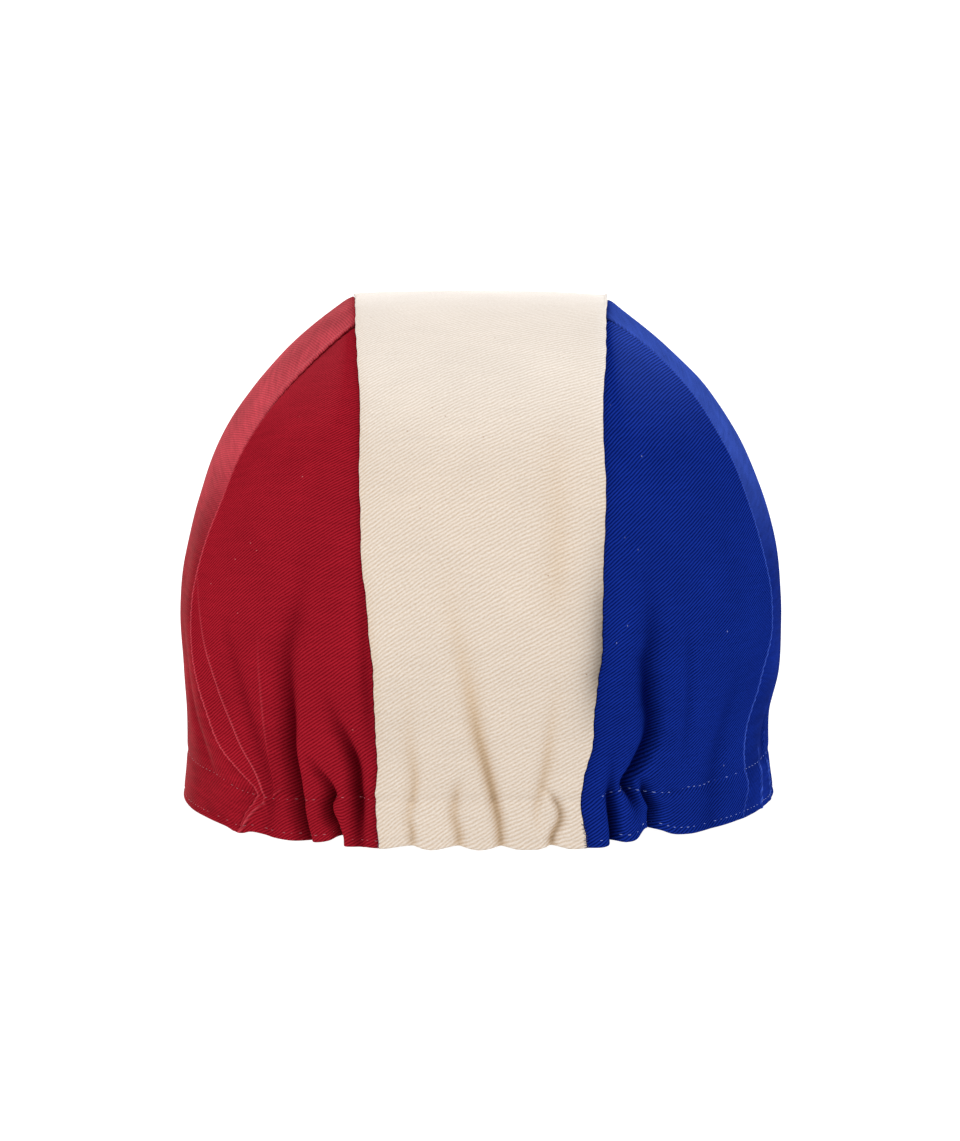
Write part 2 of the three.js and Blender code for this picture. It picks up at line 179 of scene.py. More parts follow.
wornCrests = {  # how pale wear has made the thin lines along these crests, from 0 to 1
    "redRidge": 0.42, "redMainCrest": 0.12, "redHemCrease": 0.3, "blueHemSecond": 0.5, "blueHemThird": 0.5,
}

stripEdges = {  # how far each edge of the strip lies outside its half width, in millimetres
    "stations": [-56, -41, -35, -29, -16, -8, -2, 4, 10, 15, 20, 26, 33, 41, 50, 60, 70, 90, 236],
    "left": [1.3, 2.2, 1.2, 0.7, 0.4, 0, -0.2, 0.4, 0.9, 1.6, 1.6, 1.2, 1.1, 0.3, 0.3, 0.4, 0.3, 0, 0],
    "right": [0.5, -1.3, -0.7, 0.4, 0.2, 0.8, 1.4, 1.1, 0.7, 0.2, 0.5, 0.5, 0, -1.0, -1.0, -0.4, -0.5, 0, 0],
}

# How far the gathers lift the hem's edge between their bulges
hemPuckers = {
    "angles": [-180, -90, -75, -60, -50.5, -45, -40, -36, -33.2, -31, -29.6, -28, -26, -23.8, -22,
               -18, -15, -12.5, -9, -6, -3.5, 1, 5, 9.5, 13, 17.8, 21, 25.6, 26.7, 28.4, 32.1, 35.2,
               41.5, 48.3, 50, 56, 75, 180],
    "lifts": [0, 0.2, 0.3, 0.3, 0.3, 0.3, 0.6, 1.6, 3.3, 4.1, 4.2, 1.6, 1.0, 1.3, 0.3,
              0.2, 0.1, 1.0, 0, 0.1, 0.9, 0, 1.1, 0, 1.1, 0.2, 0.2, 0.3, 2.4, 1.3, 0.3, 0.1,
              0.1, 0.3, -0.5, 0, 0, 0],
    "fade": 15,
}

stitchRow = {  # height above the hem where the upper row runs
    "angles": [-180, -120, -85, -75, -66, -57, -50, -44, -40, -38, -28.6, -27, -22.6, -18.8, 0,
               20, 25.8, 29, 32.6, 38, 43, 46.8, 52, 59, 70, 81, 100, 180],
    "heights": [14, 14, 15, 15.2, 14.9, 14.6, 14.2, 13.7, 14.1, 13.6, 15.4, 16, 15, 14, 14.4,
                13.7, 13.8, 13.2, 12.2, 11.4, 11.2, 11.4, 12.2, 13.8, 14.6, 14.9, 14, 14],
    "dip": 0.35, "dipReach": 1.3,  # how far the stitches draw the cloth in, in millimetres
    "gathered": 48,  # the angle up to which the elastic makes them draw it in more
    "lowHeight": 2.1, "lowDip": 0.22, "lowReach": 0.9,
}

foldShape = {
    "middle": 40,  # folds fade out nearer than this to the crown's middle
    "bluntness": (0.85, 0.6),  # of valleys and of crests
    "wornReach": 0.4,  # half the width of a crest's worn line
    "wornDepth": 0.6, "creaseShadeDepth": 3.8,  # depths where a worn line and a valley's painted shade are whole
    "wide": 13,  # the half width from which a valley has no painted shade
}
uneven = {"least": 0.08, "more": 0.2, "from": 110, "over": 30}  # the cloth's waves, less at the top


def smoothCurve(xs, ys):
    # Cubic pieces through the points; each slope is the mean of its two neighbours' rises,
    # weighted by the other one's length.
    xs, ys = np.array(xs, float), np.array(ys, float)
    steps = np.diff(xs)
    rises = np.diff(ys) / steps
    inner = (rises[:-1] * steps[1:] + rises[1:] * steps[:-1]) / (steps[1:] + steps[:-1])
    slopes = np.concatenate([rises[:1], inner, rises[-1:]])

    def at(x):
        i = np.clip(np.searchsorted(xs, x, side="right") - 1, 0, len(xs) - 2)
        t = np.clip((x - xs[i]) / steps[i], 0, 1)
        ease = t * t * (3 - 2 * t)
        bend = t * (1 - t) * steps[i] * (slopes[i] * (1 - t) - slopes[i + 1] * t)
        return ys[i] * (1 - ease) + ys[i + 1] * ease + bend

    return at


wallHalf = {
    key: smoothCurve(crown["wallHeights"], crown[key]) for key in ("left", "right", "rear", "front")}
stripHalf = smoothCurve(crown["stations"], crown["stripHalf"])
hemLeft = smoothCurve(crown["hemAngles"], crown["hemLeft"])
hemRight = smoothCurve(crown["hemAngles"], crown["hemRight"])
puckerLift = smoothCurve(hemPuckers["angles"], hemPuckers["lifts"])
upperRow = smoothCurve(stitchRow["angles"], stitchRow["heights"])
edgeLeft = smoothCurve(stripEdges["stations"], stripEdges["left"])
edgeRight = smoothCurve(stripEdges["stations"], stripEdges["right"])
foldCurves = [
    (rows[0][0], rows[-1][0], wornCrests.get(name, 0),
     [smoothCurve([row[0] for row in rows], [row[k] for row in rows]) for k in (1, 2, 3, 4)])
    for name, rows in folds.items()
]
seamAngle, proudCurves = {}, {}


def outline(back, up, height):
    # The lengthwise outline as a superellipse: 1 on it, more outside it.
    half = np.where(back > 0, wallHalf["rear"](height), wallHalf["front"](height))
    power = np.where(back > 0, crown["rearRoundness"], crown["frontRoundness"])
    return ((np.abs(back) / half) ** power + (up / crown["domeHeight"]) ** power) ** (1 / power)


def spine(station):
    # The strip's middle line: straight up the rear wall, over the superellipse, down the front.
    top = crown["wallTop"]
    fromTop = np.where(station < 90, np.minimum(station, 0), 180 - np.maximum(station, 180))
    wallHeight = top + fromTop
    turn = np.radians(np.clip(station, 0, 180))
    up = np.sin(turn) * crown["domeHeight"]
    half = np.where(station < 90, wallHalf["rear"](wallHeight), wallHalf["front"](wallHeight))
    away = np.cos(turn) * half
    scale = 1 / outline(away, up, np.full_like(away, top))
    onWall = (station <= 0) | (station >= 180)
    return np.where(onWall, away, away * scale), np.where(onWall, wallHeight, top + up * scale)


def stripPlain(across, station):
    # The strip's plain surface: the spine, with edges bowed down by a share of the distance squared.
    across, station = np.broadcast_arrays(np.asarray(across, float), np.asarray(station, float))
    y, z = spine(station)
    lower = 1 - crown["stripBow"] * across ** 2
    top = crown["wallTop"]
    z = np.where(z > top, top + (z - top) * lower, z)
    return np.stack([across * stripHalf(station), y * lower, z], -1)


def sidePlain(angle, level):
    # The side panels' plain surface: a superellipse between the wall's half breadth and the
    # outline, widened by just what makes it meet the strip's edges.
    angle, level = np.broadcast_arrays(np.asarray(angle, float), np.asarray(level, float))
    top = crown["wallTop"]
    height = np.clip(level, 0, 1) * top
    rise = np.maximum(level - 1, 0) * np.pi / 2
    out, back, up = (
        np.cos(rise) * np.sin(np.radians(angle)), np.cos(rise) * np.cos(np.radians(angle)), np.sin(rise))
    half = np.where(out > 0, wallHalf["left"](height), wallHalf["right"](height))
    power = np.where(out > 0, crown["leftRoundness"], crown["rightRoundness"])
    rearHalf, frontHalf = wallHalf["rear"](top), wallHalf["front"](top)
    share = back / np.where(back > 0, rearHalf, frontHalf)
    overDome = np.degrees(np.arctan2(up / crown["domeHeight"], share))
    onWall = np.where(back > 0, height - top, frontHem - height)
    station = np.where(up > 0, overDome, onWall)
    meets = (1 - crown["stripBow"]) / (1 - (stripHalf(station) / half) ** power) ** (1 / power)
    radius = ((np.abs(out) / half) ** power + (outline(back, up, height) / meets) ** power) ** (-1 / power)
    return np.stack([out * radius, back * radius, height + up * radius], -1)


def angleOf(points):
    return np.degrees(np.arctan2(points[..., 0], points[..., 1]))


def fromMiddle(points):
    return np.hypot(points[..., 0], points[..., 1])


def placeOf(points):
    # The angle and level of points of the plain crown.
    top, z = crown["wallTop"], points[..., 2]
    rise = np.degrees(np.arctan2(z - top, fromMiddle(points)))
    return angleOf(points), np.where(z > top, 1 + rise / 90, z / top)


def strayed(side, station):
    # How far the strip's edge strays from its plain line, in half widths: what the photograph
    # shows there, and a sum of sine waves.
    t = station + 40 * side
    waves = 0.1 * np.sin(0.19 * t) + 0.08 * np.sin(0.47 * t + 1) + 0.07 * np.sin(1.3 * t + 2)
    shown = np.where(side > 0, edgeLeft(station), edgeRight(station))
    return (waves + shown) / stripHalf(station)


def stripEdge(side, station):
    return placeOf(stripPlain(side * (1 + strayed(side, station)), station))


def climbOf(level):
    # The way up the cloth from the hem, in millimetres, and back to the level.
    return np.where(level < 1, level * crown["wallTop"], crown["wallTop"] + (level - 1) * crown["domeWay"])


def levelOf(climb):
    over = climb - crown["wallTop"]
    return np.where(over < 0, climb / crown["wallTop"], 1 + over / crown["domeWay"])


for key, seam in seams.items():
    endAngle, endLevel = stripEdge(seam["side"], seam["end"])
    seam["endLevel"] = float(endLevel)
    seamAngle[key] = smoothCurve(
        seam["levels"] + [seam["endLevel"]], seam["angles"] + [abs(float(endAngle))])
    proudCurves[key] = {
        part: smoothCurve(seam["proudLevels"], seam[part]) for part in ("front", "rear")}

rng = np.random.default_rng(11)
waveTurns = rng.normal(size=(26, 3))
waveTurns *= (2 * np.pi / rng.uniform(11, 46, 26) / np.linalg.norm(waveTurns, axis=1))[:, None]
wavePhases = rng.uniform(0, 2 * np.pi, 26)


def unevenness(points):
    # A sum of seeded sine waves through space, about 1 at most: cloth is never quite smooth.
    total = np.zeros(points.shape[:-1])
    for turn, phase in zip(waveTurns, wavePhases):
        total += np.sin(points @ turn + phase)
    return total / 9


def fade(t):
    # Smoothly from 1 at 0 to 0 at 1.
    left = np.clip(1 - t, 0, 1)
    return left * left * (3 - 2 * left)


def bell(distance, reach):
    # e to the power of minus the square of distance by reach.
    return np.exp(-((distance / reach) ** 2))


def foldDepths(points):
    # How far each fold draws the cloth in: its depth times a bell of the distance round the head
    # from the fold's line, its two sides with their own widths, sharper on a crest. With it goes
    # its tone: a painted shade, minus the bell to a power, in a narrow valley, and a thin pale line
    # on a worn crest.
    height, around = points[..., 2], fromMiddle(points)
    angle = angleOf(points)
    for lowest, highest, worn, (lineAngle, depth, left, right) in foldCurves:
        off = np.radians((angle - lineAngle(height) + 180) % 360 - 180) * around
        far = off / np.where(off > 0, left(height), right(height))
        deep = np.where((height > lowest - 1) & (height < highest + 1), depth(height), 0)
        deep = deep * np.clip(around / foldShape["middle"], 0, 1) ** 2
        shape = np.exp(-1.5 * (far ** 2 + 0.01) ** np.where(deep > 0, *foldShape["bluntness"]))
        crest = np.clip(-deep / foldShape["wornDepth"], 0, 1) * bell(off, foldShape["wornReach"])
        narrow = np.clip((foldShape["wide"] - left(height)) / 4, 0, 1)
        valley = narrow * np.clip(deep / foldShape["creaseShadeDepth"], 0, 1) * shape ** 1.4
        yield deep * shape, worn * crest - valley


def foldTone(points):
    return np.clip(sum(tone for _, tone in foldDepths(points)), -1, 1)


def drawnIn(points, angle):
    # How far the cloth lies inside the plain crown: its folds, its unevenness, and the two rows
    # that the hem's stitches draw in.
    height = points[..., 2]
    total = sum(deep for deep, _ in foldDepths(points))
    waves = uneven["least"] + uneven["more"] * fade((height - uneven["from"]) / uneven["over"])
    total -= waves * unevenness(points)
    more = np.where(np.abs(angle) < stitchRow["gathered"], 1.5, 0.8)
    total += stitchRow["dip"] * more * bell(height - upperRow(angle), stitchRow["dipReach"])
    return total + stitchRow["lowDip"] * bell(height - stitchRow["lowHeight"], stitchRow["lowReach"])


def settle(points, depth=0.0):
    # Takes plain points in along the line from the head's middle, and lifts the hem.
    top = crown["wallTop"]
    outward = points.copy()
    outward[..., 2] = np.maximum(points[..., 2] - top, 0)
    outward /= np.linalg.norm(outward, axis=-1, keepdims=True)
    angle = angleOf(points)
    moved = points - outward * (drawnIn(points, angle) + depth)[..., None]
    low = 1 - np.clip(points[..., 2] / top, 0, 1)
    hem = np.where(points[..., 0] > 0, hemLeft(np.abs(angle)), hemRight(np.abs(angle)))
    lift = np.maximum(hem, 0) * low ** 2 + puckerLift(angle) * fade(points[..., 2] / hemPuckers["fade"])
    moved[..., 2] += np.maximum(lift, 0)
    return moved


def places(knots, length=None):
    # Places from 0 to the length, or else to the last knot, whose spacing follows the knots
    # (place, spacing).
    fine = np.linspace(0, length or knots[-1][0], 6000)
    per = 1 / np.interp(fine, *np.array(knots, float).T)
    count = np.concatenate([[0], np.cumsum((per[1:] + per[:-1]) / 2 * np.diff(fine))])
    return np.interp(np.linspace(0, count[-1], int(round(count[-1])) + 1), count, fine)


def rolled(distance, radius=crown["roll"]):
    # How far the outer face drops near an edge: a quarter circle of the roll's radius.
    near = 1 - np.clip(distance / radius, 0, 1)
    return radius * (1 - np.sqrt(np.maximum(1 - near ** 2, 0)))


def toRow(points):
    return (points + np.array([0, capShift, 0])) / 1000


def inScene(name, data):
    thing = bpy.data.objects.new(name, data)
    bpy.context.scene.collection.objects.link(thing)
    return thing


def makeMesh(name, points, faces, uv=None, marks=None):
    # A mesh from points in millimetres and faces of 3 or 4, turned so that its volume is positive,
    # with its marks, numbers point by point that its cloth's colours follow.
    points = toRow(points)
    a, b, c = points[faces[:, 0]], points[faces[:, 1]], points[faces[:, 2]]
    volume = (a * np.cross(b, c)).sum()
    if faces.shape[1] == 4:
        volume += (a * np.cross(c, points[faces[:, 3]])).sum()
    if volume < 0:
        faces = faces[:, ::-1]
    mesh = bpy.data.meshes.new(name)
    mesh.from_pydata(points.tolist(), [], faces.tolist())
    mesh.polygons.foreach_set("use_smooth", np.ones(len(faces), bool))
    if uv is not None:
        layer = mesh.uv_layers.new(name="cloth")
        layer.data.foreach_set("uv", uv[faces.ravel()].astype(np.float32).ravel())
    for key, values in (marks or {}).items():
        mesh.attributes.new(key, "FLOAT", "POINT").data.foreach_set("value", values.astype(np.float32))
    mesh.update()
    return inScene(name, mesh)


def quads(index):
    return np.stack([index[:-1, :-1], index[:-1, 1:], index[1:, 1:], index[1:, :-1]], -1).reshape(-1, 4)


def cutSize(face):
    # A sheet's width, length and area as it was cut, in metres: its longest row, its longest column,
    # and the sum of its cells, each the cross product of two sides.
    over, down = np.diff(face, axis=1) / 1000, np.diff(face, axis=0) / 1000
    width = np.linalg.norm(over, axis=-1).sum(1).max()
    length = np.linalg.norm(down, axis=-1).sum(0).max()
    area = np.linalg.norm(np.cross(over[:-1], down[:, :-1]), axis=-1).sum()
    return float(width), float(length), float(min(area, width * length))


clothUnit = 100.0  # millimetres of cloth to one UV unit


def closedSheet(name, outer, inner, uv, wraps=False, **marks):
    # Two sheets of points over one grid of rows and columns that share their border points. The
    # marks are the outer one's alone.
    rows, columns = outer.shape[:2]
    cutSize(outer)
    border = np.zeros((rows, columns), bool)
    border[[0, -1]] = True
    if not wraps:
        border[:, [0, -1]] = True
    outerIndex = np.arange(rows * columns).reshape(rows, columns)
    innerIndex = outerIndex.copy()
    innerIndex[~border] = rows * columns + np.arange((~border).sum())
    if wraps:
        outerIndex = np.concatenate([outerIndex, outerIndex[:, :1]], 1)
        innerIndex = np.concatenate([innerIndex, innerIndex[:, :1]], 1)
    faces = np.concatenate([quads(outerIndex), quads(innerIndex)[:, ::-1]])
    points = np.concatenate([outer.reshape(-1, 3), inner[~border]])
    flat = np.concatenate([uv.reshape(-1, 2), uv[~border]])
    marks = {key: np.concatenate([mark.ravel(), 0 * mark[~border]]) for key, mark in marks.items()}
    return makeMesh(name, points, faces, flat / clothUnit, marks)


def linear(hexCode):
    # sRGB hex to linear: the inverse of the sRGB curve, channel by channel.
    srgb = np.array([int(hexCode[i:i + 2], 16) for i in (0, 2, 4)]) / 255
    return [*np.where(srgb <= 0.04045, srgb / 12.92, ((srgb + 0.055) / 1.055) ** 2.4), 1.0]


def addNode(tree, kind, inputs=None, output=0, **settings):
    # Adds a node, sets its properties, fills its inputs with values or other nodes' outputs, and
    # gives the output asked for, or the node itself.
    node = tree.nodes.new("ShaderNode" + kind)
    for key, value in settings.items():
        setattr(node, key, value)
    for socket, value in (inputs or {}).items():
        if isinstance(value, bpy.types.NodeSocket):
            tree.links.new(value, node.inputs[socket])
        else:
            node.inputs[socket].default_value = value
    return node if output is None else node.outputs[output]


def maths(tree, operation, *values):
    return addNode(tree, "Math", dict(enumerate(values)), operation=operation)


def noise(tree, place, scale, detail, roughness):
    return addNode(tree, "TexNoise", {
        "Vector": place, "Scale": scale, "Detail": detail, "Roughness": roughness})


def mapped(tree, place, scale, turn=0.0):
    return addNode(tree, "Mapping", {
        "Vector": place, "Scale": scale, "Rotation": (0, 0, np.radians(turn))})


def ranged(tree, value, given, wanted=(0.0, 1.0), **settings):
    # The value moved from the given range to the wanted one.
    return addNode(tree, "MapRange", {
        "Value": value, "From Min": given[0], "From Max": given[1],
        "To Min": wanted[0], "To Max": wanted[1]}, **settings)


def mixed(tree, share, first, second):
    return addNode(tree, "Mix", {"Factor": share, 6: first, 7: second}, 2, data_type="RGBA")


def scaled(tree, colour, by):
    return addNode(tree, "VectorMath", {0: colour, 3: by}, operation="SCALE")


def newMaterial(name):
    material = bpy.data.materials.new(name)
    material.use_nodes = True
    material.node_tree.nodes.clear()
    return material, material.node_tree


def covered(tree, **inputs):
    # The shader, with its own inputs by their names, and the way out of the tree.
    named = {key.replace("_", " "): value for key, value in inputs.items()}
    cover = addNode(tree, "BsdfPrincipled", named)
    addNode(tree, "OutputMaterial", {"Surface": cover}, None)


weave = {  # what all the twills share; sizes in millimetres
    "wander": 6, "waver": 1.7, "fibre": 0.55, "slub": (14, 1.6), "mottle": 26,
    "float": (1.3, 2.6, 1),  # how many of a yarn's floats go along and across a ridge
    "floatShare": 0.75, "fibreShare": 0.4,  # beside the ridges' relief
    "slubRange": (0.25, 0.75), "mottleRange": (0.3, 0.7), "speckRange": (0.03, 0.11),
    "roughness": 0.92, "bumpHeight": 0.22,
}


def cottonTwill(name, look):
    # Washed cotton twill, 2 up 1 down: slanting ridges of yarn with darker grooves, dull, with a
    # nap that pales where the cloth turns away, a few slubs and specks, a painted shade in the
    # valleys of its folds and beside the seams, wear and a painted sheen that pale it, and a
    # painted shadow.
    material, tree = newMaterial(name)
    cloth = addNode(tree, "UVMap", uv_map="cloth")
    turned = mapped(tree, cloth, (clothUnit / look["ridge"],) * 3, look["turn"])  # 1 = one ridge
    wander = noise(tree, cloth, clothUnit / weave["wander"], 2, 0.5)
    waver = noise(tree, cloth, clothUnit / weave["waver"], 1, 0.5)
    across = addNode(tree, "SeparateXYZ", {0: turned}, "Y")
    across = maths(tree, "MULTIPLY_ADD", waver, look["waver"], across)
    across = maths(tree, "MULTIPLY_ADD", wander, look["wander"], across)
    wave = maths(tree, "SINE", maths(tree, "MULTIPLY", across, 2 * np.pi))
    ridge = ranged(tree, wave, (-1, 1), interpolation_type="SMOOTHSTEP")
    floats = noise(tree, mapped(tree, turned, weave["float"]), 1, 2, 0.6)
    fibre = noise(tree, cloth, clothUnit / weave["fibre"], 2, 0.7)
    slubScale = (clothUnit / weave["slub"][0], clothUnit / weave["slub"][1], 1)
    slub = noise(tree, mapped(tree, cloth, slubScale), 1, 3, 0.6)
    mottle = noise(tree, cloth, clothUnit / weave["mottle"], 3, 0.55)

    height = maths(tree, "MULTIPLY", fibre, weave["fibreShare"])
    height = maths(tree, "MULTIPLY_ADD", floats, weave["floatShare"], height)
    height = maths(tree, "MULTIPLY_ADD", ridge, look["relief"], height)
    shade = ranged(tree, height, look["shades"])
    colour = mixed(tree, shade, linear(look["groove"]), linear(look["ridgeTop"]))
    slub = ranged(tree, slub, weave["slubRange"], (1 - look["slub"], 1 + look["slub"]))
    mottle = ranged(tree, mottle, weave["mottleRange"], (1 - look["mottle"], 1 + look["mottle"]))
    tone = maths(tree, "MULTIPLY", slub, mottle)
    colour = scaled(tree, colour, tone)
    cells = addNode(tree, "TexVoronoi", {
        "Vector": mapped(tree, cloth, look["speckScale"]), "Scale": 1.0}, None)
    number = addNode(tree, "SeparateXYZ", {0: cells.outputs["Color"]})
    chosen = maths(tree, "GREATER_THAN", number, 1 - look["speckShare"])
    speck = ranged(tree, cells.outputs["Distance"], weave["speckRange"], (look["speckDepth"], 0))
    colour = mixed(tree, maths(tree, "MULTIPLY", chosen, speck), colour, linear(look["speck"]))

    # The tone mark: below zero a painted shade in the valley tint, above zero wear and a painted sheen
    # towards the worn colour.
    wearAndPaintedLight = addNode(tree, "Attribute", output="Fac", attribute_name="tone")
    valley = addNode(tree, "VectorMath", {0: colour, 1: look["valley"]}, operation="MULTIPLY")
    colour = mixed(tree, maths(tree, "MULTIPLY", wearAndPaintedLight, -1), colour, valley)
    wornShade = maths(tree, "MULTIPLY", ranged(tree, shade, (0, 1), look["wornShade"]), tone)
    colour = mixed(tree, wearAndPaintedLight, colour, scaled(tree, linear(look["worn"])[:3], wornShade))
    shadow = addNode(tree, "Attribute", output="Fac", attribute_name="shadow")
    colour = mixed(tree, shadow, colour, (0, 0, 0, 1))
    bump = addNode(tree, "Bump", {
        "Height": height, "Strength": look["bump"], "Distance": weave["bumpHeight"] / 1000})
    covered(
        tree, Base_Color=colour, Roughness=weave["roughness"], Specular_IOR_Level=look["gloss"],
        Normal=bump, Sheen_Weight=look["nap"], Sheen_Roughness=look["napSpread"],
        Sheen_Tint=linear(look["napColour"]))
    return material


undyedCotton = {
    "waver": 0.2, "relief": 0.4, "groove": "a88f74", "ridgeTop": "cfc7be", "shades": (0.2, 1.2),
    "slub": 0.03, "gloss": 0.1, "napSpread": 0.3, "wornShade": (0.8, 1.2),
}
dyedCotton = {
    "slub": 0.08, "mottle": 0.08, "gloss": 0.0, "nap": 0.0, "napSpread": 0.25,
    "wornShade": (0.6, 1.4), "speckShare": 0.03, "speckDepth": 0.6,
}
wornSmooth = {
    "relief": 0.42, "shades": (0.25, 1.2), "bump": 0.4, "nap": 0.05, "mottle": 0.22, "slub": 0.2,
    "speckShare": 0.01,
}
# Each look's valley tint is the tint of the painted shade in fold valleys and beside the seams; its worn
# colour is what wear and the painted sheen pale the cloth towards.
twillLooks = {
    "cream": undyedCotton | {
        "ridge": 1.03, "turn": -30, "wander": 1.1, "mottle": 0.025, "bump": 0.36, "nap": 0.55,
        "napColour": "fffcfa", "valley": (0.86, 0.7, 0.48), "worn": "dfe0e0",
        "speck": "8a6440", "speckShare": 0.05, "speckDepth": 0.75, "speckScale": (28, 34, 1)},
    "band": undyedCotton | {
        "ridge": 0.9, "turn": -45, "wander": 1.0, "mottle": 0.03, "bump": 0.5, "nap": 0.3,
        "napColour": "fff6ee", "valley": (0.8, 0.7, 0.6), "worn": "efe6da",
        "speck": "9a7a55", "speckShare": 0.02, "speckDepth": 0.4, "speckScale": (30, 34, 1)},
    "red": dyedCotton | {
        "ridge": 0.85, "turn": -30.5, "waver": 0.09, "wander": 0.8, "relief": 0.72,
        "groove": "4e0007", "ridgeTop": "941926", "shades": (0.24, 1.24), "bump": 0.62,
        "napColour": "ffaaa8", "valley": (0.26, 0.08, 0.2), "worn": "c85660",
        "speck": "c97c7c", "speckScale": (30, 52, 1)},
    "blue": dyedCotton | {
        "ridge": 0.86, "turn": -31, "waver": 0.08, "wander": 0.7, "relief": 0.88,
        "groove": "000330", "ridgeTop": "122a83", "shades": (0.32, 1.36), "bump": 0.75,
        "napColour": "8ca2ff", "valley": (0.16, 0.15, 0.28), "worn": "4a68ca",
        "speck": "a9b6e2", "speckScale": (52, 30, 1)},
}
twillLooks["redFront"] = twillLooks["red"] | wornSmooth | {"nap": 0.22}
twillLooks["blueFront"] = twillLooks["blue"] | wornSmooth
twill = {key: cottonTwill(key + "CottonTwill", look) for key, look in twillLooks.items()}
print("twill made")

strip = {
    "acrossKnots": [(0, 0.12), (1.2, 0.25), (3, 0.44), (63, 0.44), (64.8, 0.25), (66, 0.12)],
    "alongKnots": [
        (0, 0.12), (1.5, 0.35), (4, 0.55), (62, 0.6), (90, 2.2), (390, 2.4), (399, 0.4), (402, 0.15)],
    "proud": 0.55,  # how far it stands out past the side panels
    "turnStations": [-56, -40, -24, -16, -6, 6, 14, 26, 236],
    # how far its edges dive into the seams, and how far the side panels' do
    "turnLeft": [0.2, 0.2, 0.35, 0.5, 0.5, 0.4, 0.3, 0.25, 0.25],
    "turnRight": [0.2, 0.2, 0.3, 0.6, 1.1, 1.0, 0.6, 0.2, 0.2],
    "underLeft": [0.3] * 9,
    "underRight": [0.3, 0.3, 0.2, 0.0, -0.2, -0.2, 0.1, 0.3, 0.3],
    "turnReach": 2.0, "underReach": 1.5,
    "pucker": (0.1, 1.6, 3.1),  # the stitches' puckers: how deep, how far in, how long each
    "shaded": (0.2, 0.6), "shadedReach": 2.1,  # painted shade where the right and left edges dive
    "shadow": 0.68, "shadowReach": 4.6,  # and the shadow at the right one
    "paintedTopSheen": 0.2, "paintedTopSheenFrom": 100, "paintedTopSheenOver": 40,  # painted sheen: how much paler the crown's top is drawn
    "grainBow": 0.0016,
}


def alongRows(points):
    # The way along each row of points from its first one.
    steps = np.linalg.norm(np.diff(points, axis=-2), axis=-1)
    return np.concatenate([0 * steps[..., :1], np.cumsum(steps, -1)], -1)


def walk(line):
    # The lengths along a line given by its parameter from 0 to 1.
    t = np.linspace(0, 1, 600)
    return t, alongRows(line(t))


def between(where, marks, rows):
    # Points between the rows of a line, by the marks that the rows have.
    return np.stack([np.interp(where, marks, rows[:, k]) for k in range(3)], -1)


def puckered(pucker, distance, along, start=0):
    # Puckers beside a row of stitches: a sine wave along it that dies away from it.
    deep, reach, length = pucker
    return deep * np.exp(-distance / reach) * np.sin(along * 2 * np.pi / length + start)


def flatCloth(line, lineAngle, plain, cloth, side):
    # Where each point lies on the flat cloth, whose grain runs up the given line in an upright
    # plane: its nearest place on that line is found by a few steps along it, and its distance from
    # the plane is bent to a head's radius. A little of what its folds add is let out beside it.
    middle, reach, headRadius = plain.shape[1] // 2, 60.0, 90
    before, after = line[0] - line[1], line[-1] - line[-2]
    line = np.concatenate([
        [line[0] + before * reach / np.linalg.norm(before)], line,
        [line[-1] + after * reach / np.linalg.norm(after)]])
    marks = alongRows(line) - reach
    steps = np.diff(line, axis=0)
    centres, ways = (marks[1:] + marks[:-1]) / 2, steps / np.linalg.norm(steps, axis=1)[:, None]
    mark = np.broadcast_to(np.linspace(0, marks[-2], len(plain))[:, None], plain.shape[:2])
    for _ in range(14):
        at = between(mark, marks, line)
        mark = mark + 0.8 * ((plain - at) * between(mark, centres, ways)).sum(-1)
    turn = np.radians(lineAngle)
    across = ((plain - at) * [np.cos(turn), -np.sin(turn), 0]).sum(-1)
    off = headRadius * np.arcsin(np.clip(across / headRadius, -1, 1))
    letOut = alongRows(cloth) - alongRows(plain)
    return np.stack([-off - 0.1 * side * (letOut - letOut[:, middle:middle + 1]), mark], -1)


def sheetOver(name, plain, proud, drop, uv, **marks):
    # A sheet whose outer face stands proud of the plain crown and whose inner one lies the
    # cloth's thickness under it.
    return closedSheet(
        name, settle(plain, drop - proud), settle(plain, crown["cloth"] - drop - proud), uv, **marks)


